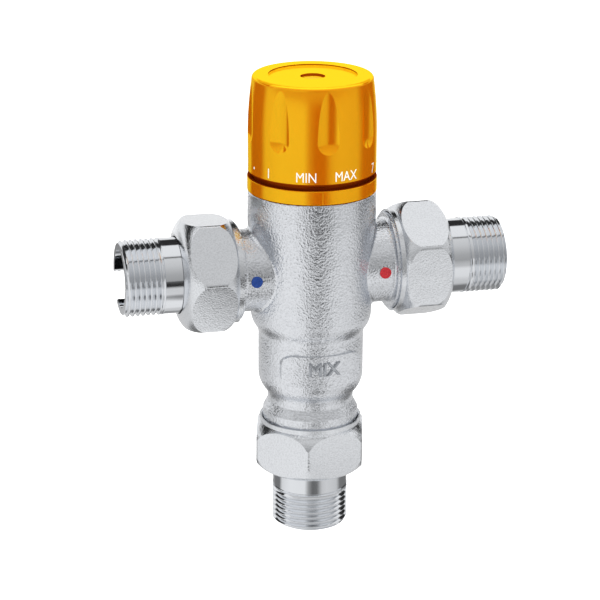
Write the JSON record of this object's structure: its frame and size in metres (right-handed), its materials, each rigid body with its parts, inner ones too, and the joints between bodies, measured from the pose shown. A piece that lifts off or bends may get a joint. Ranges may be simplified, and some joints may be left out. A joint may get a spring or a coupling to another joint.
{
  "type": "thermostatic mixing valve",
  "caption": "Thermostatic mixing valve: chromed tee body with a numbered dial knob on top and a union nut with a threaded tail on both inlets and the outlet.",
  "frame": {"origin": "centre of the outlet tail's end face, the lowest point of the part", "axes": "+Z along the body towards the dial, +X towards the hot inlet, -Y the front with the dial marks"},
  "size_m": [0.1342, 0.0444, 0.1618],
  "materials": {
    "cast_chrome": "satin chrome over a blasted brass casting",
    "turned_chrome": "bright chrome over turned brass",
    "nut_chrome": "satin chrome over a hot-pressed brass nut",
    "brass": "machined brass",
    "knob_plastic": "glossy orange moulded plastic",
    "ring_plastic": "glossy orange moulded plastic",
    "dot_blue": "blue enamel",
    "dot_red": "red enamel",
    "seal_rubber": "black rubber",
    "fibre": "pressed fibre sheet",
    "valve_plastic": "pale moulded plastic",
    "spring_steel": "drawn stainless wire",
    "stainless": "stainless steel"
  },
  "bodies": {
    "valve": {"valve_body": "cast_chrome", "bonnet": "brass", "bonnet_seal": "seal_rubber", "index_ring": "ring_plastic", "partition_seal": "seal_rubber", "cold_dot": "dot_blue", "hot_dot": "dot_red", "cold_gasket": "fibre", "hot_gasket": "fibre", "mixed_gasket": "fibre", "cold_check_housing": "valve_plastic", "hot_check_housing": "valve_plastic", "cold_check_seal": "seal_rubber", "hot_check_seal": "seal_rubber", "cold_check_spring": "spring_steel", "hot_check_spring": "spring_steel", "cold_strainer": "stainless", "hot_strainer": "stainless", "spring_seat": "stainless", "return_spring": "spring_steel"},
    "dial": {"knob": "knob_plastic", "knob_cap": "knob_plastic", "knob_screw": "stainless", "spindle": "brass", "spindle_seals": "seal_rubber", "spindle_clip": "stainless"},
    "carrier_pack": {"carrier": "brass", "snap_ring": "stainless", "overload_spring": "spring_steel"},
    "overload": {"overload_cup": "brass", "element_pin": "stainless"},
    "shutter_pack": {"wax_element": "brass", "shutter": "valve_plastic"},
    "cold_poppet": {"cold_check_poppet": "valve_plastic"},
    "hot_poppet": {"hot_check_poppet": "valve_plastic"},
    "cold_union": {"cold_tail": "turned_chrome"},
    "hot_union": {"hot_tail": "turned_chrome"},
    "mixed_union": {"mixed_tail": "turned_chrome"},
    "cold_swivel": {"cold_nut": "nut_chrome"},
    "hot_swivel": {"hot_nut": "nut_chrome"},
    "mixed_swivel": {"mixed_nut": "nut_chrome"}
  },
  "joints": [
    {"name": "dial_turn", "type": "hinge", "parent": "valve", "child": "dial", "pos_m": [0, 0, 0.1342], "axis": [0, 0, 1], "range_deg": [0, 338.2]},
    {"name": "carrier_lift", "type": "slide", "parent": "valve", "child": "carrier_pack", "axis": [0, 0, 1], "range_m": [0, 0.00282], "deforming": ["return_spring"]},
    {"name": "overload_slide", "type": "slide", "parent": "carrier_pack", "child": "overload", "axis": [0, 0, 1], "range_m": [0, 0.0015], "stiffness_N_per_m": 200, "springref_m": -0.01, "deforming": ["overload_spring"]},
    {"name": "shutter_slide", "type": "slide", "parent": "carrier_pack", "child": "shutter_pack", "axis": [0, 0, 1], "range_m": [-0.0015, 0], "stiffness_N_per_m": 200, "springref_m": 0.012, "deforming": ["return_spring"]},
    {"name": "cold_check_slide", "type": "slide", "parent": "valve", "child": "cold_poppet", "axis": [1, 0, 0], "range_m": [0, 0.0024], "stiffness_N_per_m": 40, "springref_m": -0.005, "deforming": ["cold_check_spring"]},
    {"name": "hot_check_slide", "type": "slide", "parent": "valve", "child": "hot_poppet", "axis": [-1, 0, 0], "range_m": [0, 0.0024], "stiffness_N_per_m": 40, "springref_m": -0.005, "deforming": ["hot_check_spring"]},
    {"name": "cold_tail_slide", "type": "slide", "parent": "valve", "child": "cold_union", "axis": [-1, 0, 0], "range_m": [0, 0.01039]},
    {"name": "cold_nut_turn", "type": "hinge", "parent": "cold_union", "child": "cold_swivel", "pos_m": [-0.0375, 0, 0.0942], "axis": [-1, 0, 0], "range_deg": [0, 1620]},
    {"name": "hot_tail_slide", "type": "slide", "parent": "valve", "child": "hot_union", "axis": [1, 0, 0], "range_m": [0, 0.01039]},
    {"name": "hot_nut_turn", "type": "hinge", "parent": "hot_union", "child": "hot_swivel", "pos_m": [0.0375, 0, 0.0942], "axis": [1, 0, 0], "range_deg": [0, 1620]},
    {"name": "mixed_tail_slide", "type": "slide", "parent": "valve", "child": "mixed_union", "axis": [0, 0, -1], "range_m": [0, 0.01039]},
    {"name": "mixed_nut_turn", "type": "hinge", "parent": "mixed_union", "child": "mixed_swivel", "pos_m": [0, 0, 0.0298], "axis": [0, 0, -1], "range_deg": [0, 1620]}
  ],
  "couplings": [
    {"joint": "dial_turn", "follows": "carrier_lift", "rad_per_m": 2094.4},
    {"joint": "cold_nut_turn", "follows": "cold_tail_slide", "rad_per_m": 2721.2},
    {"joint": "hot_nut_turn", "follows": "hot_tail_slide", "rad_per_m": 2721.2},
    {"joint": "mixed_nut_turn", "follows": "mixed_tail_slide", "rad_per_m": 2721.2}
  ]
}
